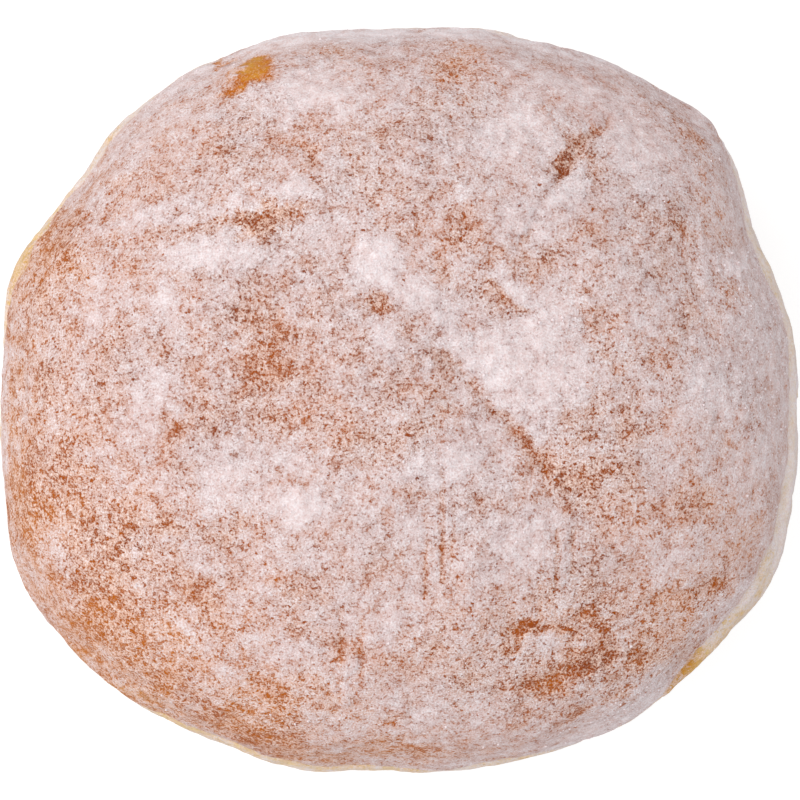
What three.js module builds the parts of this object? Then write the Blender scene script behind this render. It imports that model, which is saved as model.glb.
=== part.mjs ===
// A filled doughnut: a ball of proved dough, pressed a little flat by its own weight, fried on one
// face and then on the other, and dusted with sugar. It has no hole. The two faces brown and set
// in the fat, and the dough between them stays pale and swells out as a band round the middle.
//
// It was fried as one piece, so it is one closed solid. Millimetres, +Z up, +X along the longest
// way across. The origin is on the table, under the middle of the doughnut.
import * as THREE from 'three';

// Driving dimensions.
const WIDTH = 94; // along X
const DEPTH = 88; // along Y
const HEIGHT = 48; // from the table to the highest point of the top
const GIRTH_LEVEL = 20.5; // height of the fullest girth, in the middle of the pale band
const BAND_HALF_HEIGHT = 6.5; // from the girth to the edge of either crust
const BAND_SWELL = 1.3; // how far the band stands out past the two crusts
const FOOT_RADIUS = 23; // the part of the underside that lies flat on the table

// How full the cut face is, as the two powers of a superellipse: 2 and 2 give an ellipse. A
// higher side power keeps the wall upright for longer, and a higher face power flattens the top
// or the underside.
const TOP_SHAPE = { side: 2.75, face: 2.15 };
const UNDERSIDE_SHAPE = { side: 2.6, face: 2.3 };

// The uneven girth fades into a plain oval towards the middle: shares of the way out.
const EVEN_WITHIN = 0.45;
const UNEVEN_BEYOND = 0.97;

// The girth seen from above: bearing in degrees from +X towards +Y, and distance from the middle.
// A hand-shaped ball is never round: this one has broad shoulders at 40, 204 and 335 degrees, a
// small bump at 160, and flatter sides between.
const GIRTH = [
  [0, 46.9], [12, 46.9], [25, 46.2], [40, 48.9], [52, 47.7],
  [66, 45.6], [90, 43.8], [112, 45.4], [124, 46.2], [136, 46.5],
  [147, 45.9], [160, 47.8], [176, 46.9], [190, 47.7], [204, 49.4],
  [218, 48.6], [231, 47.4], [240, 45.8], [252, 45.2], [268, 43.7],
  [288, 44.9], [310, 46.7], [318, 46.8], [335, 48.7], [347, 47.9],
];

// The band isn't level: it climbs and dips round the girth. Waves round, height, and bearing of
// the first crest.
const BAND_WAVES = [
  { count: 1, height: 1.3, crest: 150 },
  { count: 2, height: 0.9, crest: 40 },
  { count: 5, height: 0.35, crest: 15 },
];

// Broad swells (up) and hollows (down) in the top, where the crust rose or was leant on. Each is
// an oval bump: its middle, its reach along and across, the bearing of its length, and its rise.
const TOP_SWELLS = [
  { middle: [11, -1], reach: [15, 5], bearing: -49, rise: -0.9 },
  { middle: [19, 26], reach: [13, 5], bearing: 54, rise: -0.8 },
  { middle: [-14, 6], reach: [16, 10], bearing: 80, rise: -0.8 },
  { middle: [2, 18], reach: [12, 9], bearing: 20, rise: 0.7 },
  { middle: [-14, -15], reach: [17, 9], bearing: -25, rise: 0.8 },
  { middle: [21, -26], reach: [16, 6], bearing: 20, rise: -0.7 },
  { middle: [27, 6], reach: [11, 9], bearing: 0, rise: 0.5 },
];

// Steps of the skin's mesh.
const STEPS_ROUND = 72;
const STEPS_UNDERSIDE = 11;
const STEPS_TOP = 21;
const STEPS_FOOT = 3;

const CRUST_COLOUR = 0xdcbdb2; // sugared crust
const CRUST_ROUGHNESS = 0.85;

const toRadians = THREE.MathUtils.degToRad;

// Distance of the girth from the middle at a bearing: a smooth closed curve through GIRTH.
function girthRadius(bearing) {
  const count = GIRTH.length;
  let here = count - 1;
  while (GIRTH[here][0] > bearing) {
    here -= 1;
  }
  const point = (offset) => GIRTH[(here + offset + count) % count];
  const turn = (from, to) => THREE.MathUtils.euclideanModulo(to[0] - from[0], 360);
  const slope = (offset) => {
    const before = point(offset - 1);
    const after = point(offset + 1);
    return (after[1] - before[1]) / turn(before, after);
  };
  const span = turn(point(0), point(1));
  const t = (bearing - point(0)[0]) / span;
  const rise = 3 * t ** 2 - 2 * t ** 3;
  return point(0)[1] * (1 - rise) + point(1)[1] * rise
    + span * slope(0) * (t ** 3 - 2 * t ** 2 + t)
    + span * slope(1) * (t ** 3 - t ** 2);
}

// The girth without its unevenness: an oval as long and as wide as the doughnut.
function ovalRadius(bearing) {
  const across = Math.cos(toRadians(bearing)) / WIDTH;
  const along = Math.sin(toRadians(bearing)) / DEPTH;
  return 0.5 / Math.hypot(across, along);
}

// How far the band is lifted or dipped at a bearing.
function bandLift(bearing) {
  return BAND_WAVES.reduce(
    (sum, wave) => sum + wave.height * Math.cos(toRadians(wave.count * (bearing - wave.crest))),
    0,
  );
}

// Height that the swells and hollows add to the top at a place.
function swellAt(x, y) {
  return TOP_SWELLS.reduce((sum, swell) => {
    const offset = new THREE.Vector2(x - swell.middle[0], y - swell.middle[1]);
    offset.rotateAround(new THREE.Vector2(), -toRadians(swell.bearing));
    const away = (offset.x / swell.reach[0]) ** 2 + (offset.y / swell.reach[1]) ** 2;
    return sum + swell.rise * Math.exp(-away);
  }, 0);
}

// Half of the doughnut's cut face, from the middle of the foot round the girth to the middle of
// the top. x is the distance from the middle as a share of the girth, and y is the height.
function halfSection() {
  const footShare = FOOT_RADIUS / (WIDTH / 2);
  const points = [];
  for (let step = 0; step < STEPS_FOOT; step += 1) {
    points.push(new THREE.Vector2(footShare * step / STEPS_FOOT, 0));
  }
  for (let step = 0; step < STEPS_UNDERSIDE; step += 1) {
    const angle = (step / STEPS_UNDERSIDE) * Math.PI / 2;
    const out = Math.sin(angle) ** (2 / UNDERSIDE_SHAPE.face);
    const up = 1 - Math.cos(angle) ** (2 / UNDERSIDE_SHAPE.side);
    points.push(new THREE.Vector2(footShare + (1 - footShare) * out, GIRTH_LEVEL * up));
  }
  for (let step = 0; step <= STEPS_TOP; step += 1) {
    const angle = (step / STEPS_TOP) * Math.PI / 2;
    const out = step === STEPS_TOP ? 0 : Math.cos(angle) ** (2 / TOP_SHAPE.face);
    const up = Math.sin(angle) ** (2 / TOP_SHAPE.side);
    points.push(new THREE.Vector2(out, GIRTH_LEVEL + (HEIGHT - GIRTH_LEVEL) * up));
  }
  return points;
}

// The swell of the band past the crusts, which drops away quickly above and below it.
function bandSwell(height) {
  return BAND_SWELL * Math.exp(-(((height - GIRTH_LEVEL) / BAND_HALF_HEIGHT) ** 4));
}

// Stretches and shifts the skin so that it measures exactly the driving dimensions and stands
// on z = 0 over the origin.
function fitToSize(geometry) {
  geometry.computeBoundingBox();
  const size = geometry.boundingBox.getSize(new THREE.Vector3());
  const middle = geometry.boundingBox.getCenter(new THREE.Vector3());
  geometry.translate(-middle.x, -middle.y, -geometry.boundingBox.min.z);
  geometry.scale(WIDTH / size.x, DEPTH / size.y, HEIGHT / size.z);
}

// The whole skin. The section is turned once round, and then each point moves out to the girth
// at its own bearing and up or down with the band, the swells and the hollows.
function doughnutGeometry() {
  const section = halfSection();
  const geometry = new THREE.LatheGeometry(section, STEPS_ROUND);
  geometry.rotateX(Math.PI / 2);
  const position = geometry.attributes.position;
  for (let index = 0; index < position.count; index += 1) {
    const column = Math.floor(index / section.length) % STEPS_ROUND;
    const bearing = column * 360 / STEPS_ROUND;
    const share = section[index % section.length].x;
    const level = section[index % section.length].y;
    const unevenness = THREE.MathUtils.smoothstep(share, EVEN_WITHIN, UNEVEN_BEYOND);
    const girth = THREE.MathUtils.lerp(ovalRadius(bearing), girthRadius(bearing), unevenness);
    const radius = share * (girth - BAND_SWELL + bandSwell(level));
    const x = radius * Math.cos(toRadians(bearing));
    const y = radius * Math.sin(toRadians(bearing));
    const lifted = Math.sin(Math.PI * level / HEIGHT) ** 2 * bandLift(bearing);
    const isTop = THREE.MathUtils.smoothstep(level, GIRTH_LEVEL + BAND_HALF_HEIGHT, HEIGHT - 4);
    position.setXYZ(index, x, y, level + lifted + isTop * swellAt(x, y));
  }
  fitToSize(geometry);
  geometry.computeVertexNormals();
  return geometry;
}

const crust = new THREE.MeshStandardMaterial({
  color: CRUST_COLOUR,
  roughness: CRUST_ROUGHNESS,
  metalness: 0,
});
const doughnut = new THREE.Mesh(doughnutGeometry(), crust);
doughnut.name = 'doughnut';

const part = new THREE.Group();
part.add(doughnut);

export default part;
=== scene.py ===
# %% [markdown]
# # A filled doughnut, dusted with powdered sugar
#
# The real thing is a ball of sweet dough, proved, pressed a little flat and fried on one face and
# then on the other. Each face sets and browns in the fat. The dough between them stays pale and
# swells out as a band round the girth. While it is still warm it is dusted with powdered sugar,
# which clings in a thin veil, drifts in the hollows, and is rubbed off wherever it is touched.
#
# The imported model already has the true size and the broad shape. Everything here is about the
# skin, and the first step is always the same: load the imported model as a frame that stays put.

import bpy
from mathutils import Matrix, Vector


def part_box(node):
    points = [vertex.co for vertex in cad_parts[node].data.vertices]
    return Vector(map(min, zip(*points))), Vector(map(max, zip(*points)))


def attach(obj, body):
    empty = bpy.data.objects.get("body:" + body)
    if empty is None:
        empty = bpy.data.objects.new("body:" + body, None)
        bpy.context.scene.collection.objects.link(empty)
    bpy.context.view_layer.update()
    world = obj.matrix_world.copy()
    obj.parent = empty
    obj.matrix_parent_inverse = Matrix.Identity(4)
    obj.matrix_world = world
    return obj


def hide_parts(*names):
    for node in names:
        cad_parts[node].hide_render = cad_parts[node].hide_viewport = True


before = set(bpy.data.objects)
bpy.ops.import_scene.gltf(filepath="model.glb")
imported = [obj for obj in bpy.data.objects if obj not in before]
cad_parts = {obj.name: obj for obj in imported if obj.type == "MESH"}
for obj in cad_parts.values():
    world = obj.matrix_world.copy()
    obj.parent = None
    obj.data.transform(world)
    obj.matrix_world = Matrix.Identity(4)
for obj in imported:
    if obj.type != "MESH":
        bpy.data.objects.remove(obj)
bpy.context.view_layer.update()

import math

import bmesh
import bpy
import numpy as np
from mathutils import Vector
from mathutils.bvhtree import BVHTree

MM = 0.001  # Blender works in metres, and a baker thinks in millimetres

# %% [markdown]
# ## An even skin to work on
#
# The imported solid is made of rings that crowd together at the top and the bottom. Fine detail
# needs faces of one size all over. Three ways would do: a voxel remesh, which steps and is slow
# at this scale; a subdivided icosphere; or the one used here, a cube whose faces are cut into a
# grid and blown up into a ball. It gives clean squares, and no point where they crowd. A ray from
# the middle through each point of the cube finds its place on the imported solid.

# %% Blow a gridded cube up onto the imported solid
CAGE_CELLS = 24  # squares along each edge of the cube
SKIN_LEVELS = 3  # times that each square is then cut in four

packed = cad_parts["doughnut"].data
solid = BVHTree.FromPolygons(
    [vertex.co for vertex in packed.vertices],
    [polygon.vertices for polygon in packed.polygons],
)
low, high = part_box("doughnut")
half_size = (high - low) / 2
heart = (high + low) / 2

cage = bmesh.new()
bmesh.ops.create_cube(cage, size=2)
bmesh.ops.subdivide_edges(cage, edges=cage.edges[:], cuts=CAGE_CELLS - 1, use_grid_fill=True)
for vertex in cage.verts:
    # The tangent spaces the grid by equal angles, so that squares near the edges don't shrink.
    evened = Vector([math.tan(value * math.pi / 4) for value in vertex.co])
    ray = evened.normalized() * half_size
    vertex.co = solid.ray_cast(heart, ray)[0]
skin_mesh = bpy.data.meshes.new("fried_crust")
cage.to_mesh(skin_mesh)
cage.free()
print("cage:", len(skin_mesh.polygons), "squares")

# %% [markdown]
# A subdivision surface rounds the cage off and cuts it fine. The modifier's result is turned into
# a plain mesh, because the next steps move each point by hand, as a potter would with fingertips.

# %% Cut the skin fine
skin = bpy.data.objects.new("fried_crust", skin_mesh)
bpy.context.scene.collection.objects.link(skin)
rounding = skin.modifiers.new("rounding", "SUBSURF")
rounding.levels = SKIN_LEVELS
rounding.render_levels = SKIN_LEVELS
fine = bpy.data.meshes.new_from_object(skin.evaluated_get(bpy.context.evaluated_depsgraph_get()))
skin.modifiers.clear()
skin.data = fine
bpy.data.meshes.remove(skin_mesh)
fine.name = "fried_crust"

count = len(fine.vertices)
flat = np.empty(count * 3, np.float32)
fine.vertices.foreach_get("co", flat)
place = flat.reshape(-1, 3).astype(float) / MM
fine.vertices.foreach_get("normal", flat)
outward = flat.reshape(-1, 3).astype(float)
print("skin:", len(fine.polygons), "squares,", count, "points")

# %% [markdown]
# ## Two tools: noise and soft ovals
#
# Nearly everything on a crust is one of two things: an even randomness, such as blisters, or a
# mark in one place, such as a thumb print. Gradient noise makes the first. It is worked out here
# with arrays, for all the points at once, from a seeded table, so it is the same in every run.
# Real unevenness has several sizes at once, so noises of different sizes are often added up.

# %% Noise and ovals
NOISE_GAIN = 3.6  # brings the noise to about one unit either way


def noise(points, cell, seed):
    """Smooth noise, about 1 in size, whose bumps are about one cell (in mm) across."""
    rng = np.random.default_rng(seed)
    table = rng.permutation(256)
    slopes = rng.normal(size=(256, 3))
    slopes /= np.linalg.norm(slopes, axis=1, keepdims=True)
    scaled = points / np.asarray(cell, float)
    base = np.floor(scaled).astype(int)
    within = scaled - base
    ease = within ** 3 * (within * (within * 6 - 15) + 10)
    total = np.zeros(len(points))
    for corner in np.ndindex(2, 2, 2):
        at = base + corner
        pick = table[at[:, 0] & 255]
        pick = table[(pick + at[:, 1]) & 255]
        pick = table[(pick + at[:, 2]) & 255]
        slope = np.einsum("ij,ij->i", slopes[pick], within - corner)
        total += slope * np.prod(np.where(corner, ease, 1 - ease), axis=1)
    return total * NOISE_GAIN


def layers(points, rows):
    """Layers of noise added up, each given as its cell in mm, its amount and its seed."""
    return sum(amount * noise(points, cell, seed) for cell, amount, seed in rows)


def smooth_step(start, end, value):
    """0 before start, 1 after end, and an even S between them."""
    share = np.clip((value - start) / (end - start), 0, 1)
    return share * share * (3 - 2 * share)


def oval(points, middle_x, middle_y, length, width, bearing):
    """1 in the middle of an oval seen from above, fading out at half its length and width."""
    turn = math.radians(bearing)
    east = points[:, 0] - middle_x
    north = points[:, 1] - middle_y
    along = east * math.cos(turn) + north * math.sin(turn)
    across = north * math.cos(turn) - east * math.sin(turn)
    away = (2 * along / length) ** 2 + (2 * across / width) ** 2
    return np.exp(-1.2 * away ** 1.4)


blisters = noise(place, 2.2, 1)
print("noise spreads", round(float(blisters.std()), 2), "and reaches", round(float(blisters.max()), 2))

# %% [markdown]
# Marks on food have ragged edges. Rather than draw each edge, the points are nudged about by
# noise before an oval looks at them, so that every oval comes out torn in its own way.
#
# The marks are laid out as seen from nearly half a metre straight above, where places nearer the
# eye look further out. So the points are spread a little first, as they would fall on a sheet of
# glass held at the level of the girth.

# %% Nudged points, for ragged marks
LENS = 180.0  # mm
SENSOR = 36.0  # mm
VIEW_WIDTH = 94.5  # mm that the view takes in at the level of the girth
EYE_HEIGHT = VIEW_WIDTH * LENS / SENSOR  # mm over the girth
GIRTH_LEVEL = 20.5  # mm over the table
RAGGED = [(6.0, 0.5, 10), (2.0, 0.5, 20), (0.8, 0.3, 30)]  # cell, nudge in mm, and seed

seen = place.copy()
seen[:, :2] *= (EYE_HEIGHT / (EYE_HEIGHT - (place[:, 2] - GIRTH_LEVEL)))[:, None]
ragged = seen.copy()
for axis in range(3):
    ragged[:, axis] += layers(place, [(cell, nudge, seed + axis) for cell, nudge, seed in RAGGED])
print("nudged by up to", round(float(np.abs(ragged - seen).max()), 1), "mm")

# %% [markdown]
# ## Where the crust ends and the pale band starts
#
# The band is centred on the girth, where the doughnut is widest, so that is measured first, on
# the skin itself. Each crust then ends at its own height over or under the girth, and that edge
# climbs and dips as the dough floated in the fat. Where the edge is high, a strip of band can be
# seen from above. Heights are given at a few bearings, in degrees from +X towards +Y.

# %% Measure the girth and lay out the two crust edges
SECTORS = 72  # slices round the girth in which its height is measured
SMOOTHED = 4  # slices either side that each height is averaged over
TOP_EDGE = [
    # bearing, and mm over the girth
    (5, 5.0), (20, 5.5), (30, 4.0), (40, 1.8), (60, 1.5), (68, 2.6), (76, 4.2), (84, 2.5),
    (97, 1.5), (112, 2.0), (125, 3.2), (138, 3.8), (150, 2.4), (156, 4.0), (160, 6.0),
    (163, 4.4), (168, 2.5), (180, 1.5), (208, 1.0), (222, 2.5), (236, 4.2), (250, 4.0),
    (262, 3.4), (276, 3.0), (288, 3.8), (294, 2.0), (307, 2.0), (313, 4.8), (320, 6.6),
    (327, 8.2), (335, 9.2), (343, 7.6), (352, 6.2),
]
EDGE_WANDER = [(5, 0.55, 40), (1.8, 0.30, 41)]  # cell and amount in mm, and seed
UNDER_EDGE = [(0, -6.5), (60, -8.0), (130, -6.0), (200, -7.5), (260, -6.0), (320, -8.5)]

bearing = np.degrees(np.arctan2(place[:, 1], place[:, 0])) % 360
reach = np.hypot(place[:, 0], place[:, 1])
sector = (bearing * SECTORS / 360).astype(int) % SECTORS
girth_heights = np.array(
    [place[sector == index, 2][reach[sector == index].argmax()] for index in range(SECTORS)]
)
around = np.arange(-SMOOTHED, SMOOTHED + 1)
girth_heights = np.array(
    [girth_heights[(index + around) % SECTORS].mean() for index in range(SECTORS)]
)
middles = (np.arange(SECTORS) + 0.5) * 360 / SECTORS
over_girth = place[:, 2] - np.interp(bearing, middles, girth_heights, period=360)


def round_the_girth(rows):
    """The value at every point's bearing, from a list of bearings and the values there."""
    bearings, values = zip(*rows)
    return np.interp(bearing, bearings, values, period=360)


wander = layers(place, EDGE_WANDER)
top_edge = round_the_girth(TOP_EDGE) + wander
under_edge = round_the_girth(UNDER_EDGE) + wander
print("girth height in mm:", round(girth_heights.min(), 1), "to", round(girth_heights.max(), 1))

# %% [markdown]
# ## How far each place is fried
#
# One number says it all: 0 is raw pale dough, a third is golden, two thirds is fox brown and 1 is
# dark. It climbs quickly from the band to the crust through a thin golden line. A colour ramp in
# the material turns the number into a colour later, so the geometry and the colour agree.
#
# Three accidents break the rule. The doughnut leaned as it fried, so one side stayed paler.
# Bubbles of air kept a few small patches of the top golden. And in two places the dough just under
# the top crust was splashed with fat, and turned golden too.

# %% Fry the dough
RAW = 0.06
BROWNED = 0.66  # how much more the crusts are fried than the band
DEEPENED = 0.15  # and how much more again, well in from their edges
LEAN = 0.12  # how much paler the side that leaned out of the fat is
CRUST_MOTTLE = [(9, 0.05, 50), (2.6, 0.035, 51)]  # cell in mm, amount, and seed
BAND_MOTTLE = [(4, 0.035, 52)]
GOLDEN_PATCHES = [
    # middle x, y, length, width, bearing, how much less fried
    (-17.8, 38.6, 6.0, 3.2, 45, 0.30),
    (-22.0, 39.4, 3.5, 1.2, 18, 0.22),
    (17.6, -33.2, 8.0, 4.0, 24, 0.12),
]
SPLASHED = [(316, 0.20), (160, 0.10)]  # bearing, and how much more fried the band's top is

top_crust = smooth_step(-1.6, 3.2, over_girth - top_edge)
under_crust = smooth_step(-2.2, 3.6, under_edge - over_girth)
crust = np.maximum(top_crust, under_crust)
edge_away = np.minimum(np.abs(over_girth - top_edge), np.abs(over_girth - under_edge))
fried = RAW + BROWNED * crust + DEEPENED * smooth_step(6, 22, edge_away) * crust
fried += crust * layers(place, CRUST_MOTTLE) + (1 - crust) * layers(place, BAND_MOTTLE)
for middle, more in SPLASHED:
    near = smooth_step(7, 2, np.abs(bearing - middle + 2 * noise(place, 3, 53)))
    fried += more * (1 - crust) * near * smooth_step(-7, -1, over_girth - top_edge)
for *patch, less in GOLDEN_PATCHES:
    fried -= less * oval(ragged, *patch) * top_crust
fried -= LEAN * smooth_step(-2, -46, 0.75 * place[:, 0] + 0.62 * place[:, 1]) * crust
fried = np.clip(fried, 0, 1)
print("fried from", round(float(fried.min()), 2), "to", round(float(fried.max()), 2))

# %% [markdown]
# ## Where the sugar lies
#
# The veil says how much powder there is at each place, from 0, bare, to 1, none of the crust
# showing. Sugar that fell last lies in soft drifts. Places that were touched, or that brushed the
# next doughnut in the tray, are worn thin. Each list gives its marks one by one, the way one would
# rub powder off with a fingertip: middle x and y, length, width, bearing, and how much is added or
# taken away.
#
# Sugar also tells where the crust is folded. Whatever brushed across a fold left one side of it
# bare and a bank of sugar against the other, which gives a crisp line that an oval can't. The bare
# side is darker partly because the crust shows through and partly because shade is painted onto that
# face of the fold. And a drift has a body that thins out softly, but a torn edge where it crumbled:
# so a part of each drift is cut at a level after fine noise has been added.

# %% Lay the veil of sugar
VEIL = 0.51  # how thick the sugar lies where nothing has happened to it
VEIL_UNEVENNESS = [(8, 0.04, 60), (3.4, 0.06, 61), (1.6, 0.06, 62)]  # cell in mm, amount, seed
TRAY_WEAR = 0.07  # how much is lost all over the side that it lay on
DRIFT_GAIN = 1.08  # the last dusting made every listed drift this many times as thick
DRIFT_BODY = 0.72  # how much of a drift thins out softly
DRIFT_CRUMBLED = 0.11  # and how thick the part with the torn edge is
TORN = [(1.6, 0.05, 67), (0.7, 0.04, 68)]  # cell in mm, amount, seed
DRIFTS = [
    # the whitest heaps
    (-2.6, 16.2, 6.4, 5.4, 70, 0.49),
    (-22.6, 17.4, 8.5, 4.0, 8, 0.48),
    (18.6, 9.2, 6.5, 5.5, 30, 0.26),
    (11.4, 5.6, 6.5, 5.5, 0, 0.20),
    (-12.2, -12.6, 6.5, 4.5, -35, 0.29),
    (-28.2, 1.2, 5.0, 8.0, -15, 0.15),
    # streaks and lines
    (-25.0, 21.8, 24.0, 2.4, 14, 0.20),
    (-14.5, 25.0, 9.0, 2.8, 20, 0.18),
    (-28.4, 11.2, 3.0, 8.0, 0, 0.20),
    (20.0, 24.4, 6.5, 4.0, 50, 0.23),
    (15.4, 21.8, 6.0, 2.6, 30, 0.16),
    (20.8, 11.2, 6.0, 2.0, 45, 0.14),
    (19.0, -29.2, 12.0, 1.8, 10, 0.09),
    (-6.4, -33.6, 3.0, 9.0, 0, 0.14),
    (5.2, 8.4, 16.0, 3.6, -50, 0.20),
    (-1.5, 7.2, 17.0, 2.2, -44, 0.12),
    # broad soft cover
    (16.5, 3.4, 17.0, 12.0, -20, 0.17),
    (-4.5, 9.6, 14.0, 8.0, -20, 0.07),
    (-21.6, -10.6, 9.0, 7.0, 30, 0.17),
    (-14.0, -9.5, 22.0, 12.0, -8, 0.10),
    (4.6, -7.2, 14.0, 5.0, 0, 0.16),
    (5.0, -6.0, 13.0, 16.0, 0, 0.09),
    (16.0, -16.0, 12.0, 9.0, 0, 0.07),
    (6.0, -18.0, 14.0, 12.0, 0, 0.05),
    (-29.5, -17.5, 13.0, 11.0, -45, 0.05),
    (41.0, -6.0, 8.0, 13.0, 0, 0.06),
    (-34.5, 27.0, 20.0, 5.0, 44, 0.06),
    (-11.0, 36.8, 11.0, 7.0, 10, 0.16),
    (14.0, 31.5, 14.0, 8.0, 15, 0.16),
    (27.8, 29.0, 8.0, 7.0, 0, 0.10),
    (35.6, 1.4, 7.0, 8.0, 0, 0.17),
    (0.0, -26.2, 6.0, 6.0, 0, 0.08),
    (6.0, -34.4, 10.0, 5.0, 0, 0.05),
    # a small heap on the right, and the cover round the rim
    (39.3, 15.9, 2.6, 2.2, 0, 0.29),
    (41.0, -26.0, 16.0, 8.0, 55, 0.19),
    (29.5, -35.0, 20.0, 6.0, 30, 0.21),
    (-44.6, 0.4, 3.6, 8.0, 0, 0.12),
    (43.0, 6.0, 6.0, 28.0, 0, 0.12),
    (39.0, 8.0, 14.0, 42.0, 0, 0.06),
]
WORN_AND_SHADED = [
    # rubbed through to the crust, or well down, and thinned round about
    (-17.8, 38.6, 5.6, 2.8, 45, 0.95),
    (-22.0, 39.4, 3.4, 1.1, 18, 0.59),
    (19.4, 28.2, 2.3, 3.2, -30, 0.50),
    (17.0, -7.6, 5.5, 3.0, -38, 0.08),
    (18.0, -8.0, 9.0, 6.0, -38, 0.08),
    (14.8, -27.3, 3.6, 1.6, -8, 0.66),
    (13.8, -27.0, 8.0, 2.2, -4, 0.12),
    (18.8, -27.7, 5.6, 1.3, -9, 0.28),
    (21.3, -25.2, 3.4, 2.2, 10, 0.28),
    (23.2, -26.1, 5.6, 1.9, -15, 0.20),
    (12.7, -29.3, 2.6, 1.1, 0, 0.38),
    (17.6, -33.6, 6.6, 2.9, 20, 0.34),
    (22.2, -30.9, 6.4, 3.2, 35, 0.29),
    (27.7, -30.6, 2.6, 1.2, 5, 0.46),
    (21.5, -36.2, 3.2, 1.2, 15, 0.28),
    (13.7, -38.3, 3.2, 1.1, 0, 0.20),
    (1.2, -41.2, 3.6, 2.6, 0, 0.31),
    (-36.2, -21.2, 5.0, 4.5, 0, 0.18),
    (-35.4, -26.0, 6.0, 5.5, -40, 0.18),
    # rubbed thin
    (-7.0, -1.0, 46.0, 38.0, 0, 0.085),
    (-6.0, 6.0, 11.0, 10.0, 0, 0.05),
    (-29.5, 17.0, 12.0, 10.0, 0, 0.05),
    (-16.4, 11.4, 7.0, 6.5, 0, 0.14),
    (-13.6, 6.4, 7.0, 9.5, 15, 0.13),
    (-12.0, 3.0, 14.0, 7.0, -25, 0.11),
    (-16.2, 22.2, 8.5, 4.8, 15, 0.22),
    (-24.6, 28.4, 14.0, 8.0, 20, 0.12),
    (-27.5, 24.6, 9.0, 2.4, 15, 0.10),
    (-11.2, 29.4, 2.6, 11.0, 25, 0.20),
    (-9.6, 33.0, 2.6, 7.0, 25, 0.10),
    (-25.6, -3.8, 4.5, 3.4, 0, 0.18),
    (-23.4, -0.6, 7.0, 7.0, 0, 0.12),
    (-27.2, -14.0, 3.2, 3.0, 0, 0.22),
    (-11.8, -8.9, 2.4, 2.2, 0, 0.20),
    (-23.8, -22.6, 5.0, 4.0, -30, 0.14),
    (-16.2, -34.4, 8.0, 5.0, -20, 0.13),
    (-3.6, -20.2, 4.5, 4.0, 0, 0.16),
    (-6.8, -28.4, 4.0, 3.6, 0, 0.16),
    (-0.4, 2.2, 8.0, 4.0, -10, 0.10),
    (-8.8, 2.4, 4.0, 3.0, 0, 0.08),
    # these two are thinner sugar and also painted shade: the dark hollow just below the whitest heap
    (-1.9, 11.4, 3.6, 1.2, -55, 0.50),
    (-3.9, 11.6, 2.6, 3.4, 0, 0.26),
    (0.0, -6.2, 2.6, 3.6, 0, 0.10),
    (7.0, 39.4, 6.0, 4.0, 0, 0.16),
    (8.6, 18.8, 7.5, 4.4, -20, 0.23),
    (14.6, 16.4, 7.5, 4.4, -10, 0.25),
    (22.4, 19.0, 8.0, 4.0, 10, 0.13),
    (29.4, 21.6, 6.0, 4.0, 0, 0.10),
    (23.8, 32.2, 6.0, 1.6, 48, 0.16),
    (24.4, 37.6, 15.0, 3.0, -22, 0.16),
    (34.0, 33.0, 9.0, 3.0, -40, 0.13),
    (27.0, -2.2, 3.2, 8.0, 5, 0.16),
    (24.0, 7.2, 4.4, 6.0, 0, 0.12),
    (34.2, 7.4, 3.0, 7.0, 15, 0.12),
    (32.6, -11.8, 8.0, 4.4, 15, 0.20),
    (9.6, -25.4, 5.0, 3.0, 0, 0.13),
    (34.0, -22.8, 13.0, 3.6, 4, 0.16),
    (26.0, -21.0, 10.0, 5.0, 25, 0.08),
    # the side it lay on in the tray
    (-44.2, -13.0, 7.0, 18.0, 14, 0.12),
    (-39.5, -24.0, 9.0, 16.0, 30, 0.06),
    (-39.0, -27.0, 14.0, 9.0, -50, 0.05),
    (-29.0, -34.0, 15.0, 8.0, -38, 0.07),
    (-17.0, -39.4, 16.0, 4.4, -20, 0.26),
    (-40.6, -7.6, 4.0, 4.0, 0, 0.10),
    (-45.4, 6.0, 3.0, 12.0, 0, 0.18),
    (-41.5, 17.0, 8.0, 16.0, -28, 0.16),
    (4.0, -40.4, 26.0, 5.0, 0, 0.12),
    (4.0, -31.0, 14.0, 8.0, 0, 0.07),
    (-30.0, -30.0, 22.0, 14.0, -40, 0.04),
]

LEDGES = [
    # start x, y and end x, y of a fold, with sugar brushed bare and shade painted on its left and
    # banked up on its right, how far back from the fold that reaches, and how much
    (16.6, -5.6, 7.0, 5.4, 1.6, 0.17),
    (7.0, 5.4, 1.6, 12.6, 1.3, 0.14),
    (16.2, 10.6, 10.2, 14.6, 0.9, 0.50),
    (-20.0, 24.9, -35.5, 19.4, 1.6, 0.08),
    (-18.6, 20.0, -27.4, 16.6, 1.5, 0.16),
    (-9.8, 25.0, -14.6, 33.0, 1.6, 0.14),
    (21.0, 11.6, 14.0, 7.6, 1.4, 0.10),
    (13.0, -28.2, 25.0, -28.0, 1.2, 0.05),
]


def by_line(points, start_x, start_y, end_x, end_y):
    """Where points lie by a line: share of the way along, mm to its left, and its length."""
    start = np.array([start_x, start_y])
    run = np.array([end_x, end_y]) - start
    length = np.linalg.norm(run)
    offset = points[:, :2] - start
    share = offset @ run / length ** 2
    left = (run[0] * offset[:, 1] - run[1] * offset[:, 0]) / length
    return share, left, length


def swept_and_shaded(points, start_x, start_y, end_x, end_y, back):
    """1 just left of the line from start to end, -1 just right of it, and 0 further back."""
    share, left, _ = by_line(points, start_x, start_y, end_x, end_y)
    within = smooth_step(-0.08, 0.12, share) * smooth_step(1.08, 0.88, share)
    return within * np.tanh(left / 0.25) * np.exp(-np.abs(left) / back)


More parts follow.
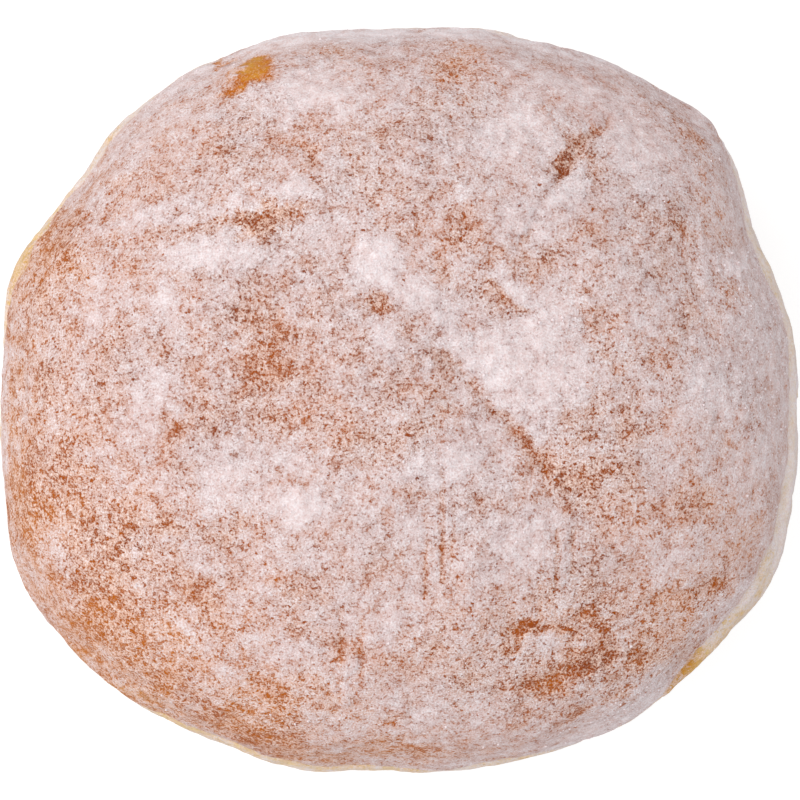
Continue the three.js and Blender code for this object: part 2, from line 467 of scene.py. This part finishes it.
veil = VEIL + layers(place, VEIL_UNEVENNESS)
veil -= TRAY_WEAR * smooth_step(-8, -44, 0.9 * place[:, 0] + 0.45 * place[:, 1])
for *mark, less in WORN_AND_SHADED:
    veil -= less * oval(ragged, *mark)
wavering = seen + 0.35 * (ragged - seen)
# Along each fold the veil drops on one side, for thin sugar and painted shade, and rises on the other.
for *fold, more in LEDGES:
    veil -= more * swept_and_shaded(wavering, *fold)
drift = np.zeros(count)
for *mark, more in DRIFTS:
    drift += DRIFT_GAIN * more * oval(ragged, *mark)
torn = drift + layers(place, TORN)
drift = DRIFT_BODY * drift + DRIFT_CRUMBLED * smooth_step(0.09, 0.17, torn)
veil += drift
print("veil from", round(float(veil.min()), 2), "to", round(float(veil.max()), 2))

# %% [markdown]
# Sugar is sifted from above, but the doughnut is turned about in it too, so its sides are sugared
# unevenly. The steep part of the crust has a pale rim of sugar, thick on the far side and missing
# on the near left. The soft band holds more than the crust on the far side and the right, and less
# on the near left. By its two golden splashes it is all but bare, but from the girth down it is at
# least about half covered all the way round. Only a little sugar reaches the underside, where the
# tray has rubbed it into patches.

# %% Carry the veil down the sides
BAND_VEIL = [  # bearing, and how thick the sugar lies on the band there
    (0, 0.85), (12, 0.60), (28, 0.60), (40, 0.80), (120, 0.80), (150, 0.55), (157, 0.12),
    (164, 0.15), (172, 0.50), (200, 0.35), (225, 0.20), (245, 0.12), (265, 0.20), (285, 0.40),
    (300, 0.60), (308, 0.45), (313, 0.05), (318, 0.08), (323, 0.50), (330, 0.62), (338, 0.66),
    (346, 0.85),
]
RIM_VEIL = [  # and how much thicker it lies on the steep part of the crust just above
    (0, 0.14), (20, 0.08), (45, 0.34), (70, 0.44), (90, 0.64), (110, 0.50), (125, 0.26),
    (138, 0.04), (155, 0.02), (170, 0.18), (185, 0.20), (200, 0.12), (215, -0.04), (230, -0.02),
    (245, 0.06), (260, 0.10), (275, 0.22), (290, 0.24), (305, 0.16), (315, 0.06), (340, 0.10),
]
LEAST_UNDER_GIRTH = 0.5  # the least on the band from the girth down, before its unevenness
UNDERSIDE_VEIL = 0.26
BAND_UNEVENNESS = [(1.6, 0.12, 64), (0.7, 0.08, 69)]  # cell in mm, amount, seed
RIM_UNEVENNESS = [(3.0, 0.35, 91), (1.2, 0.30, 92)]

downward = smooth_step(2.5, -2.5, over_girth - top_edge)
below = smooth_step(-4.0, -12.0, over_girth)
side_veil = round_the_girth(BAND_VEIL)
lacking = np.maximum(LEAST_UNDER_GIRTH - side_veil, 0)
side_veil += lacking * smooth_step(4.0, -0.5, over_girth)
side_veil += 0.13 * noise(ragged, 5, 63) + layers(place, BAND_UNEVENNESS)
rim_veil = round_the_girth(RIM_VEIL) * smooth_step(12, 5, over_girth)
veil += rim_veil * (1 + layers(place, RIM_UNEVENNESS))
under_veil = UNDERSIDE_VEIL + 0.16 * noise(ragged, 7, 65) + 0.08 * noise(place, 2.0, 66)
veil = veil + (side_veil - veil) * downward
veil = veil + (under_veil - veil) * below
drift *= 1 - downward
veil = np.clip(veil, -0.5, 1.3)

# %% [markdown]
# ## Relief: moving the skin itself
#
# A bump map only pretends, and gives itself away at the outline and in the exported mesh. So the
# blisters, the creases, the pinch where each crust meets the band and the thickness of the drifts
# all move real points, in or out along the skin's own direction, in millimetres.
#
# First come the creases, where the crust folded as it cooled, and the straight marks of the rack
# that it drained on. Both lost sugar too, and the powder then filled them again in part.

# %% Creases and rack marks
CREASES = [
    # start x, y and end x, y of its floor, its width, and its depth
    (5.6, 5.4, 11.7, -1.8, 1.0, 0.34),
    (11.7, -1.8, 17.6, -8.4, 1.6, 0.36),
    (24.4, 32.8, 19.4, 27.0, 1.1, 0.36),
    (19.4, 27.0, 13.8, 18.4, 1.2, 0.30),
    (33.0, 20.5, 37.5, 6.5, 1.6, 0.25),
    (-36.0, 19.0, -12.0, 22.5, 1.6, 0.10),
    (13.0, -27.2, 21.5, -27.9, 1.0, 0.10),
    (14.5, -34.2, 25.5, -29.9, 1.5, 0.34),
    (-14.5, 33.0, -9.5, 27.5, 1.6, 0.22),
    (30.0, -24.0, 39.0, -21.5, 1.2, 0.25),
]
RACK_MARKS = [
    (5.0, -7.4, 5.0, -21.5, 0.50, 0.34),
    (6.2, -9.5, 6.2, -19.0, 0.45, 0.14),
    (3.0, -13.0, 3.0, -23.4, 0.50, 0.28),
    (18.6, -15.4, 18.5, -21.4, 0.50, 0.26),
    (20.4, -15.4, 20.4, -20.6, 0.50, 0.26),
    (-7.0, -24.5, -7.1, -35.5, 0.60, 0.20),
    (-4.6, -26.0, -4.6, -34.0, 0.55, 0.16),
    (16.6, -20.0, 16.6, -26.0, 0.50, 0.14),
]
CREASE_BARE = 0.5  # how much sugar a crease lost, for each mm of its depth
CREASE_OPEN = 0.6  # how much of its depth is still open
SCRAPE_BARE = 1.2  # and the same two for a rack mark
SCRAPE_OPEN = 0.4


def groove(points, start_x, start_y, end_x, end_y, width):
    """1 on the floor of a groove between two places seen from above, fading to its sides."""
    share, left, length = by_line(points, start_x, start_y, end_x, end_y)
    beyond = (share - np.clip(share, 0, 1)) * length
    return np.exp(-((2 * np.hypot(left, beyond) / width) ** 2))


creased = np.zeros(count)
wobbled = seen + 0.45 * (ragged - seen)
for *line, depth in CREASES:
    creased += depth * groove(wobbled, *line)
scraped = np.zeros(count)
for *line, depth in RACK_MARKS:
    scraped += depth * groove(seen, *line)
creased *= top_crust
veil = np.clip(veil - CREASE_BARE * creased - SCRAPE_BARE * scraped, -0.5, 1.3)
creased *= CREASE_OPEN
scraped *= SCRAPE_OPEN * top_crust
print("deepest crease:", round(float(creased.max()), 2), "mm")

# %% [markdown]
# The band never set in the fat, so it stays soft and nearly smooth. As it cools it slackens into
# faint folds along its length, which are noise stretched round the girth, and here and there a
# bubble has left a pore. The girth itself has small dents and knuckles where fingers set the ball
# of dough down. Last, the doughnut's own weight presses the rim of its foot down to the table.

# %% Add up the relief and move the skin
PINCH_DEPTH = 0.55  # the nip where a crust meets the band
PINCH_WIDTH = 1.3
FOOT_FREE = 1.2  # relief fades out this close to the table, so the foot stays flat
GIRTH_DENTS = [
    # bearing, half width in degrees, and how far the girth stands out (or in) there, in mm
    (50, 7, -0.45), (90, 16, -0.42), (145, 8, -0.40), (160, 5, 0.60), (225, 16, -0.52),
    (267, 8, -0.55), (335, 12, 0.45),
]
FOOT_SINK = 0.35  # how far its own weight presses the foot's rim down onto the table
PORE_DEPTH = 0.16
FOLDS = [((14, 9, 4.5), 0.16, 70), ((7, 9, 1.6), 0.05, 71)]  # cell and amount in mm, and seed
SOFT_GRAIN = [(2.4, 0.05, 77), (0.9, 0.025, 78)]
SWELLS = [(14, 0.22, 72), (6, 0.12, 73)]
VEIL_THICKNESS = 0.14  # mm of powder where the veil is 1
DRIFT_THICKNESS = 0.5  # mm more where the drift is 1

round_girth = np.stack([np.radians(bearing) * reach, reach, place[:, 2]], axis=1)
wrinkles = layers(round_girth, FOLDS) + layers(place, SOFT_GRAIN)
wrinkles -= PORE_DEPTH * smooth_step(0.75, 1.3, noise(place, (1.5, 1.5, 1.0), 76))
swells = layers(place, SWELLS)
pebbles = 0.055 * blisters + 0.035 * noise(place, 1.1, 74)
pinch = PINCH_DEPTH * np.exp(-((edge_away / PINCH_WIDTH) ** 2))
heaped = np.clip(drift, 0, 0.5) * (1 + 0.45 * noise(place, 1.0, 75))
powder = VEIL_THICKNESS * np.clip(veil, 0, 1) + DRIFT_THICKNESS * heaped

dents = np.zeros(count)
for middle, half_width, out in GIRTH_DENTS:
    turned = (bearing - middle + 180) % 360 - 180
    dents += out * np.exp(-((turned / half_width) ** 2) - (over_girth / 9) ** 2)

relief = swells + crust * pebbles + (1 - crust) * wrinkles - pinch - creased - scraped + powder
relief += dents
relief *= smooth_step(0.0, FOOT_FREE, place[:, 2])
place += outward * relief[:, None]
settling = FOOT_SINK * smooth_step(2.5, 0.5, place[:, 2]) * (1 + 0.3 * noise(place, 9, 93))
place[:, 2] = np.maximum(place[:, 2] - settling, 0)
fine.vertices.foreach_set("co", (place * MM).astype(np.float32).ravel())
fine.update()
print("relief in mm:", round(float(relief.min()), 2), "to", round(float(relief.max()), 2))

# %% [markdown]
# The material needs to know what the geometry knows. Each of these fields is stored on the mesh
# as a named attribute with one number a point, which a shader can read by its name.
#
# One more field is worked out here. The speckle says how crisply the grains stand out from the
# crust. Where fat has come through, it draws thin powder together into grains with bare crust
# between them. Where the crust is dry or the powder thick, it stays a calm and even film.

# %% Store the fields on the mesh
SPECKLED = [
    # middle x, y, length, width, bearing, and how much crisper (or calmer) the speckle is there
    (-33.0, -22.0, 42.0, 20.0, -48, 0.34),
    (-14.0, -37.0, 30.0, 9.0, -15, 0.20),
    (20.0, -28.0, 24.0, 14.0, 12, 0.36),
    (-16.2, 22.0, 10.0, 5.6, 15, 0.55),
    (-14.0, 6.0, 12.0, 12.0, 60, 0.10),
    (19.0, -7.0, 14.0, 9.0, -40, 0.25),
    (28.0, -8.0, 14.0, 16.0, 20, 0.12),
    (-1.0, -5.0, 14.0, 8.0, 10, 0.15),
    (-43.0, 3.0, 10.0, 48.0, -8, 0.32),
    (31.0, -32.0, 26.0, 12.0, 42, 0.32),
    (20.0, 28.0, 8.0, 8.0, 0, 0.25),
    (-6.0, 36.0, 16.0, 10.0, 0, -0.20),
    (22.0, 35.0, 26.0, 8.0, -25, -0.20),
    (14.0, 20.0, 16.0, 14.0, 0, -0.12),
    (6.0, 6.0, 18.0, 14.0, 0, -0.12),
    (-8.0, -16.0, 14.0, 10.0, 0, -0.12),
    (32.0, -6.0, 16.0, 34.0, 0, 0.08),
]
CRISPNESS = 0.72  # of the speckle where nothing has happened to it
CALM_BEARING = 5  # the rim of the crust is calmer on this side
CALMER = 0.25  # and by how much

speckle = CRISPNESS + 0.75 * (VEIL - np.clip(veil, 0, 1)) + 0.10 * noise(place, 9, 90)
for *region, more in SPECKLED:
    speckle += more * oval(ragged, *region)
facing = np.cos(np.radians(bearing - CALM_BEARING))
calm_rim = smooth_step(9.0, 2.0, over_girth) * smooth_step(0.65, 0.95, facing)
speckle = np.clip(speckle - CALMER * calm_rim, 0.30, 1.3)
for name, field in {"fried": fried, "veil": veil, "speckle": speckle}.items():
    fine.attributes.new(name, "FLOAT", "POINT").data.foreach_set("value", field.astype(np.float32))
fine.polygons.foreach_set("use_smooth", np.ones(len(fine.polygons), bool))

# %% [markdown]
# ## A flat pattern of the skin
#
# Other programs will wear this finish as an image, so the skin is laid out flat, as a peel is:
# one large disc for the top and the band, and a small one for the underside. Distance from each
# disc's middle follows the skin's own length, so that the steep sides get their fair share.

# %% Peel the skin into two discs
TOP_DISC = (0.415, 0.415, 0.405)  # middle u, v and radius in the unit square
UNDER_DISC = (0.825, 0.825, 0.165)
TOP_SPARE = 1.02  # room on each disc for the faces that cross the seam
UNDER_SPARE = 1.05
PEEL_STEPS = 400

stretch = np.array([half_size.x, half_size.y, half_size.z]) / MM
centred = (place - np.array(heart) / MM) / stretch
centred /= np.linalg.norm(centred, axis=1, keepdims=True)
from_top = np.arccos(np.clip(centred[:, 2], -1, 1))
angles = np.linspace(0, math.pi, PEEL_STEPS)
lengths = np.cumsum(np.hypot(stretch[:2].mean() * np.cos(angles), stretch[2] * np.sin(angles)))
peel_line = np.radians(112)  # below the band, where the seam stays out of sight
full = np.interp([peel_line, math.pi], angles, lengths)
along = np.interp(from_top, angles, lengths)
way = centred[:, :2] / np.maximum(np.linalg.norm(centred[:, :2], axis=1, keepdims=True), 1e-9)

corner_vertex = np.empty(len(fine.loops), np.int32)
fine.loops.foreach_get("vertex_index", corner_vertex)
face_corners = corner_vertex.reshape(-1, 4)
is_top = np.repeat(from_top[face_corners].mean(axis=1) < peel_line, 4)
top_reach = TOP_DISC[2] * along / (full[0] * TOP_SPARE)
under_reach = UNDER_DISC[2] * (full[1] - along) / ((full[1] - full[0]) * UNDER_SPARE)
top_uv = np.array(TOP_DISC[:2]) + way * top_reach[:, None]
under_uv = np.array(UNDER_DISC[:2]) + way * under_reach[:, None] * (-1, 1)
peel = np.where(is_top[:, None], top_uv[corner_vertex], under_uv[corner_vertex])
fine.uv_layers.new(name="OFBake").uv.foreach_set("vector", peel.astype(np.float32).ravel())
print("peel spans", peel.min(axis=0).round(2), "to", peel.max(axis=0).round(2))

# %% [markdown]
# ## Loose clumps of sugar
#
# Powdered sugar never falls as single grains only. Damp makes tiny clumps, and they sit on the
# skin where the powder is thickest. They could be a particle system, but then the exported mesh
# would not hold them. So one small lump is shaped, and a copy of it is turned, stretched and
# pressed half into the skin at each place.

# %% Scatter the clumps
CLUMPS = 1300
CLUMP_RADIUS = (0.06, 0.17)  # mm, from the many small ones to the few large ones

rng = np.random.default_rng(7)
lump = bmesh.new()
bmesh.ops.create_icosphere(lump, subdivisions=2, radius=1)
lump_points = np.array([vertex.co for vertex in lump.verts])
lump_faces = np.array([[vertex.index for vertex in face.verts] for face in lump.faces])
lump.free()

chance = np.clip(0.15 + 2.2 * drift + 0.8 * (veil - 0.5), 0.02, None) ** 1.5
chance *= smooth_step(3, 10, over_girth)
seats = rng.choice(count, CLUMPS, replace=False, p=chance / chance.sum())
points = []
for seat in seats:
    turned = lump_points @ np.linalg.qr(rng.normal(size=(3, 3)))[0]
    size = CLUMP_RADIUS[0] + (CLUMP_RADIUS[1] - CLUMP_RADIUS[0]) * rng.random() ** 3
    stretched = turned * size * rng.uniform(0.7, 1.25, 3)
    lumpy = stretched * (1 + 0.16 * noise(lump_points + rng.uniform(0, 90, 3), 0.9, 80))[:, None]
    points.append(lumpy + place[seat] + outward[seat] * size * 0.1)
points = np.concatenate(points)
faces = (lump_faces[None] + len(lump_points) * np.arange(CLUMPS)[:, None, None]).reshape(-1, 3)

clump_mesh = bpy.data.meshes.new("sugar_clumps")
clump_mesh.from_pydata((points * MM).tolist(), [], faces.tolist())
clump_mesh.polygons.foreach_set("use_smooth", np.ones(len(faces), bool))
clumps = bpy.data.objects.new("sugar_clumps", clump_mesh)
bpy.context.scene.collection.objects.link(clumps)
print("clumps:", CLUMPS, "with", len(faces), "faces")

# %% [markdown]
# Every clump wears the same small pattern, one disc for its upper side and one for its lower.

# %% Give the clumps a flat pattern
template_top = lump_points[lump_faces].mean(axis=1)[:, 2] > 0
disc_middle = np.where(template_top[:, None], (0.25, 0.5), (0.75, 0.5))
template_uv = disc_middle[:, None, :] + 0.22 * lump_points[lump_faces][:, :, :2]
clump_uv = np.tile(template_uv.reshape(-1, 2), (CLUMPS, 1))
clump_mesh.uv_layers.new(name="OFBake").uv.foreach_set("vector", clump_uv.astype(np.float32).ravel())

# %% [markdown]
# ## Helpers for building finishes
#
# A finish is a tree of small nodes. Short helpers keep the trees readable: they add a node, feed a
# socket, do a sum, make noise of a size that is given in millimetres, stretch a range of numbers,
# and mix two colours.

# %% Node helpers


def add_node(tree, kind, **settings):
    """Adds a node of this kind and sets its properties."""
    node = tree.nodes.new(kind)
    for name, value in settings.items():
        setattr(node, name, value)
    return node


def feed(tree, socket, value):
    """Links value to the socket if it is another node's output, and otherwise sets it."""
    if isinstance(value, bpy.types.NodeSocket):
        tree.links.new(value, socket)
    else:
        socket.default_value = value


def sum_node(tree, operation, *values, clamp=False):
    """Adds a Math node and returns its result."""
    node = add_node(tree, "ShaderNodeMath", operation=operation, use_clamp=clamp)
    for socket, value in zip(node.inputs, values):
        feed(tree, socket, value)
    return node.outputs[0]


def scale_and_add(tree, value, factor, extra, clamp=False):
    """value * factor + extra, in one Math node."""
    return sum_node(tree, "MULTIPLY_ADD", value, factor, extra, clamp=clamp)


def own_place(tree):
    """Where each point of the surface is, in the piece's own frame."""
    return add_node(tree, "ShaderNodeTexCoord").outputs["Object"]


def fine_noise(tree, where, size_mm, detail=2.0, roughness=0.5):
    """Adds a noise texture whose bumps are about size_mm across, and returns its value."""
    node = add_node(tree, "ShaderNodeTexNoise")
    tree.links.new(where, node.inputs["Vector"])
    node.inputs["Scale"].default_value = 1 / (size_mm * MM)
    node.inputs["Detail"].default_value = detail
    node.inputs["Roughness"].default_value = roughness
    return node.outputs["Fac"]


def swing(tree, where, size_mm, detail, roughness):
    """Noise as above that swings evenly either side of zero."""
    return sum_node(tree, "SUBTRACT", fine_noise(tree, where, size_mm, detail, roughness), 0.5)


def stretch_range(tree, value, from_low, from_high, to_low=0.0, to_high=1.0):
    """Adds a Map Range node: a smooth step from one range to another."""
    node = add_node(tree, "ShaderNodeMapRange", interpolation_type="SMOOTHSTEP")
    for socket, number in zip(node.inputs, (value, from_low, from_high, to_low, to_high)):
        feed(tree, socket, number)
    return node.outputs["Result"]


def mix_colours(tree, share, first, second):
    """Adds a colour Mix node and returns its result."""
    node = add_node(tree, "ShaderNodeMix", data_type="RGBA")
    feed(tree, node.inputs["Factor"], share)
    feed(tree, node.inputs[6], first)
    feed(tree, node.inputs[7], second)
    return node.outputs[2]


def new_group(name, inputs, outputs):
    """Makes a node group with named number inputs and named outputs."""
    tree = bpy.data.node_groups.new(name, "ShaderNodeTree")
    for label, value in inputs.items():
        socket = tree.interface.new_socket(name=label, in_out="INPUT", socket_type="NodeSocketFloat")
        socket.default_value = value
    for label, kind in outputs.items():
        tree.interface.new_socket(name=label, in_out="OUTPUT", socket_type=kind)
    return tree, tree.nodes.new("NodeGroupInput"), tree.nodes.new("NodeGroupOutput")


def add_bump(tree, shader, height, strength, distance_mm):
    """Roughens the shader's surface by a height."""
    bump = add_node(tree, "ShaderNodeBump")
    bump.inputs["Strength"].default_value = strength
    bump.inputs["Distance"].default_value = distance_mm * MM
    tree.links.new(height, bump.inputs["Height"])
    tree.links.new(bump.outputs["Normal"], shader.inputs["Normal"])


def linear(red, green, blue):
    """A colour picked on a 0 to 255 screen scale, as the linear light that shaders use."""
    values = [value / 255 for value in (red, green, blue)]
    return (*[v / 12.92 if v <= 0.04045 else ((v + 0.055) / 1.055) ** 2.4 for v in values], 1.0)


# %% [markdown]
# ## The powder, as a group
#
# The veil on the crust and the loose clumps are the same sugar, so they share one node group. It
# gives the powder's colour, a hair darker and pinker in its tiny shadows, and a grainy height for
# a bump.

# %% Group: powdered sugar
SUGAR_LIGHT = linear(230, 223, 226)
SUGAR_SHADE = linear(222, 203, 204)

powder_group, given, result = new_group(
    "powdered_sugar",
    {"Grain mm": 0.25, "Shade": 1.0},
    {"Color": "NodeSocketColor", "Height": "NodeSocketFloat"},
)
scaled = add_node(powder_group, "ShaderNodeVectorMath", operation="SCALE")
powder_group.links.new(own_place(powder_group), scaled.inputs[0])
powder_group.links.new(
    sum_node(powder_group, "DIVIDE", 1.0, given.outputs["Grain mm"]), scaled.inputs["Scale"]
)
grains = fine_noise(powder_group, scaled.outputs[0], 1.0, detail=3, roughness=0.6)
shaded = sum_node(
    powder_group,
    "MULTIPLY",
    stretch_range(powder_group, grains, 0.62, 0.36),
    given.outputs["Shade"],
    clamp=True,
)
powder_group.links.new(
    mix_colours(powder_group, shaded, SUGAR_LIGHT, SUGAR_SHADE), result.inputs["Color"]
)
powder_group.links.new(grains, result.inputs["Height"])

# %% [markdown]
# ## The speckle, as a group
#
# A thin dusting isn't an even film. Its depth swings over a millimetre or two, and close up it is
# grains with gaps between them that the crust shows through. Where it lies deep the gaps are few
# pinholes, and where it lies thin they join up. So the gaps come from one fine noise that is cut
# at a level, and the level follows the depth: a plain mix would look like wool.
#
# Four things make the cover. The film is the powder between the grains. The gaps are holes of a
# grain's size in it. The pits are rarer, larger and crisper, where a clump fell off. The dust is
# single grains, a little over or under the rest. The more speckle, the stronger all but the film.

# %% Group: speckled cover
SWING_MM = 1.3  # how broad the swings in depth are
GRAIN_MM = 0.37
PIT_MM = 0.85
DUST_MM = 0.22
HOLE_BARE = 0.86  # how much of the powder is gone from the bottom of a gap or a pit

speckle_group, given, result = new_group(
    "speckled_cover",
    {"Veil": 0.5, "Speckle": 1.0},
    {"Cover": "NodeSocketFloat"},
)
tree = speckle_group
where = own_place(tree)
crispness = given.outputs["Speckle"]
depth = scale_and_add(tree, swing(tree, where, SWING_MM, 4, 0.65), 1.6, given.outputs["Veil"])

film = scale_and_add(tree, depth, 0.47, 0.44)
film = sum_node(tree, "MULTIPLY", film, stretch_range(tree, depth, -0.45, 0.10))

gap_start = scale_and_add(tree, depth, 0.22, 0.44)
over_start = sum_node(tree, "SUBTRACT", fine_noise(tree, where, GRAIN_MM, 3, 0.62), gap_start)
gaps = sum_node(tree, "MULTIPLY", stretch_range(tree, over_start, -0.02, 0.12), crispness)

pit_start = scale_and_add(tree, crispness, -0.17, scale_and_add(tree, depth, 0.14, 0.745))
over_start = sum_node(tree, "SUBTRACT", fine_noise(tree, where, PIT_MM, 2, 0.6), pit_start)
holes = sum_node(tree, "MAXIMUM", gaps, stretch_range(tree, over_start, 0, 0.03))
cover = sum_node(tree, "MULTIPLY", film, scale_and_add(tree, holes, -HOLE_BARE, 1.0))

dust = sum_node(tree, "MULTIPLY", swing(tree, where, DUST_MM, 2, 0.6), crispness)
cover = scale_and_add(tree, dust, 1.7, cover, clamp=True)
tree.links.new(cover, result.inputs["Cover"])


def use_group(tree, group, **values):
    """Places a node group in a material and feeds its inputs."""
    node = add_node(tree, "ShaderNodeGroup", node_tree=group)
    for label, value in values.items():
        feed(tree, node.inputs[label.replace("_", " ")], value)
    return node


# %% [markdown]
# ## The crust under its sugar
#
# The colour ramp turns "how far fried" into dough, gold, fox brown and dark brown. The speckled
# cover then lays the powder over it. Where the powder is thin, or drawn together into grains, it
# has drunk fat from the crust, and is warm and creamy. Where it lies thick and calm it has stayed
# dry and white. Bare crust has a faint sheen of fat, and sugar has none, so the roughness follows
# the cover too.

# %% Material: fried crust under sugar
DAMP_SUGAR = linear(242, 209, 192)
FRYING = [
    (0.00, linear(230, 206, 164)),
    (0.18, linear(215, 176, 111)),
    (0.36, linear(197, 139, 52)),
    (0.54, linear(184, 103, 22)),
    (0.76, linear(156, 76, 20)),
    (1.00, linear(112, 46, 26)),
]


def read_field(tree, name):
    """The number that the mesh holds under this name."""
    return add_node(tree, "ShaderNodeAttribute", attribute_name=name).outputs["Fac"]


def new_material(name):
    """A material with an empty tree but for its shader, and that shader."""
    material = bpy.data.materials.new(name)
    material.use_nodes = True
    return material, material.node_tree, material.node_tree.nodes["Principled BSDF"]


crust_finish, tree, shader = new_material("fried_crust_under_sugar")
where = own_place(tree)
mottled = swing(tree, where, 0.9, 3, 0.6)
fried_here = scale_and_add(tree, mottled, 0.32, read_field(tree, "fried"), clamp=True)
ramp = add_node(tree, "ShaderNodeValToRGB")
for index, (position, colour) in enumerate(FRYING):
    stop = ramp.color_ramp.elements[index] if index < 2 else ramp.color_ramp.elements.new(position)
    stop.position = position
    stop.color = colour
tree.links.new(fried_here, ramp.inputs["Fac"])

veil_here = read_field(tree, "veil")
speckle_here = read_field(tree, "speckle")
cover = use_group(tree, speckle_group, Veil=veil_here, Speckle=speckle_here).outputs["Cover"]
sugar = use_group(tree, powder_group, Grain_mm=0.28, Shade=0.8)
piled = scale_and_add(tree, veil_here, 0.8, cover)
piled = scale_and_add(tree, speckle_here, -0.9, piled)
dryness = stretch_range(tree, piled, -0.50, 0.64)
powder_look = mix_colours(tree, dryness, DAMP_SUGAR, sugar.outputs["Color"])
under_powder = mix_colours(tree, cover, ramp.outputs["Color"], powder_look)
feed(tree, shader.inputs["Base Color"], under_powder)
feed(tree, shader.inputs["Roughness"], stretch_range(tree, cover, 0.0, 0.6, 0.48, 0.92))
shader.inputs["Specular IOR Level"].default_value = 0.06

pores = fine_noise(tree, where, 0.6, 3, 0.6)
surface = scale_and_add(tree, cover, 0.9, sum_node(tree, "MULTIPLY", pores, 0.6))
surface = scale_and_add(tree, sugar.outputs["Height"], 0.7, surface)
add_bump(tree, shader, surface, strength=0.80, distance_mm=0.15)
fine.materials.clear()
fine.materials.append(crust_finish)

# %% [markdown]
# ## The loose clumps' finish
#
# It is the same powder with nothing under it, dead matt.

# %% Material: loose sugar
clump_finish, tree, shader = new_material("loose_sugar")
sugar = use_group(tree, powder_group, Grain_mm=0.12, Shade=0.9)
feed(tree, shader.inputs["Base Color"], sugar.outputs["Color"])
shader.inputs["Roughness"].default_value = 0.95
shader.inputs["Specular IOR Level"].default_value = 0.2
add_bump(tree, shader, sugar.outputs["Height"], strength=0.4, distance_mm=0.05)
clump_mesh.materials.append(clump_finish)

# %% [markdown]
# ## Hand the pieces to the frame
#
# Both pieces ride on the doughnut's one body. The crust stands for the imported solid, which then
# isn't shown.

# %% Ride on the frame
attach(skin, "root")
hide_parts("doughnut")
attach(clumps, "root")

# %% [markdown]
# ## Floor and light
#
# Powder shows best in broad, even light, so most of it comes from a white sky. A wide warm key
# comes from the left, which rounds the crust and makes the speckle stand out a little. A weaker
# fill comes from the near side and another from the far side. Suns are used, not lamps, because a
# sun lights the floor evenly however far it runs.
#
# The pale floor throws light back up under the girth, so that the sides don't fall into shadow. It
# also glows a little, but only where the camera sees it directly: then it reads as white paper,
# and adds nothing to the light on the doughnut.

# %% Floor
FLOOR_REACH = 30.0  # m, far enough to meet the backdrop at eye level
FLOOR_GLOW = 0.70  # light that it gives off, straight to the camera only
WHITE = (1.0, 1.0, 1.0, 1.0)

floor_mesh = bpy.data.meshes.new("studio_floor")
corners = [(x * FLOOR_REACH, y * FLOOR_REACH, 0) for x, y in ((-1, -1), (1, -1), (1, 1), (-1, 1))]
floor_mesh.from_pydata(corners, [], [(0, 1, 2, 3)])
floor = bpy.data.objects.new("studio_floor", floor_mesh)
bpy.context.scene.collection.objects.link(floor)
floor_finish, tree, shader = new_material("pale_floor")
shader.inputs["Base Color"].default_value = linear(172, 172, 172)
shader.inputs["Roughness"].default_value = 0.9
shader.inputs["Specular IOR Level"].default_value = 0.1
shader.inputs["Emission Color"].default_value = WHITE
seen_directly = add_node(tree, "ShaderNodeLightPath").outputs["Is Camera Ray"]
feed(tree, shader.inputs["Emission Strength"], sum_node(tree, "MULTIPLY", seen_directly, FLOOR_GLOW))
floor_mesh.materials.append(floor_finish)

# %% Light
SKY_SHARE = 0.855  # the sky's light on a level white card, where 1 just reaches white
SUNS = [
    # name, bearing that it comes from, height in degrees, share of light, softness, colour
    ("key", 172, 43, 0.49, 60, (1.0, 0.96, 0.92)),
    ("low_fill", -95, 35, 0.10, 60, (1.0, 0.98, 0.96)),
    ("far_fill", 75, 40, 0.07, 60, (1.0, 0.98, 0.97)),
]

world = bpy.data.worlds.new("studio")
world.use_nodes = True
tree = world.node_tree
sky = tree.nodes["Background"]
sky.inputs["Color"].default_value = WHITE
sky.inputs["Strength"].default_value = SKY_SHARE
backdrop = add_node(tree, "ShaderNodeBackground")
backdrop.inputs["Color"].default_value = WHITE
seen_directly = add_node(tree, "ShaderNodeLightPath").outputs["Is Camera Ray"]
either = add_node(tree, "ShaderNodeMixShader")
tree.links.new(seen_directly, either.inputs["Fac"])
tree.links.new(sky.outputs[0], either.inputs[1])
tree.links.new(backdrop.outputs[0], either.inputs[2])
tree.links.new(either.outputs[0], tree.nodes["World Output"].inputs["Surface"])
bpy.context.scene.world = world

for name, comes_from, rise, share, softness, colour in SUNS:
    light = bpy.data.lights.new(name, "SUN")
    light.energy = share * math.pi  # a sun of pi lights a white card to just white
    light.angle = math.radians(softness)
    light.color = colour
    sun = bpy.data.objects.new(name, light)
    bpy.context.scene.collection.objects.link(sun)
    turn = math.radians(comes_from)
    tilt = math.radians(rise)
    towards = Vector((math.cos(turn) * math.cos(tilt), math.sin(turn) * math.cos(tilt), math.sin(tilt)))
    sun.rotation_mode = "QUATERNION"
    sun.rotation_quaternion = towards.to_track_quat("Z", "Y")
print("lights:", [name for name, *_ in SUNS], "and the sky")

# %% [markdown]
# ## Camera
#
# It looks straight down, as one looks at a doughnut on a tray, from the height at which the marks
# were laid out. A long lens from well above keeps the outline true, because a near camera would
# hide the girth behind the shoulders. Plain "Standard" colour keeps the powder white instead of
# greying it.

# %% Camera
camera_data = bpy.data.cameras.new("camera")
camera_data.lens = LENS
camera_data.sensor_width = SENSOR
camera = bpy.data.objects.new("camera", camera_data)
bpy.context.scene.collection.objects.link(camera)
girth_level = float(girth_heights.mean()) * MM
camera.location = (0.0, 0.0, girth_level + EYE_HEIGHT * MM)
bpy.context.scene.camera = camera
bpy.context.scene.view_settings.view_transform = "Standard"
print("camera", round(camera.location.z, 3), "m above the floor")
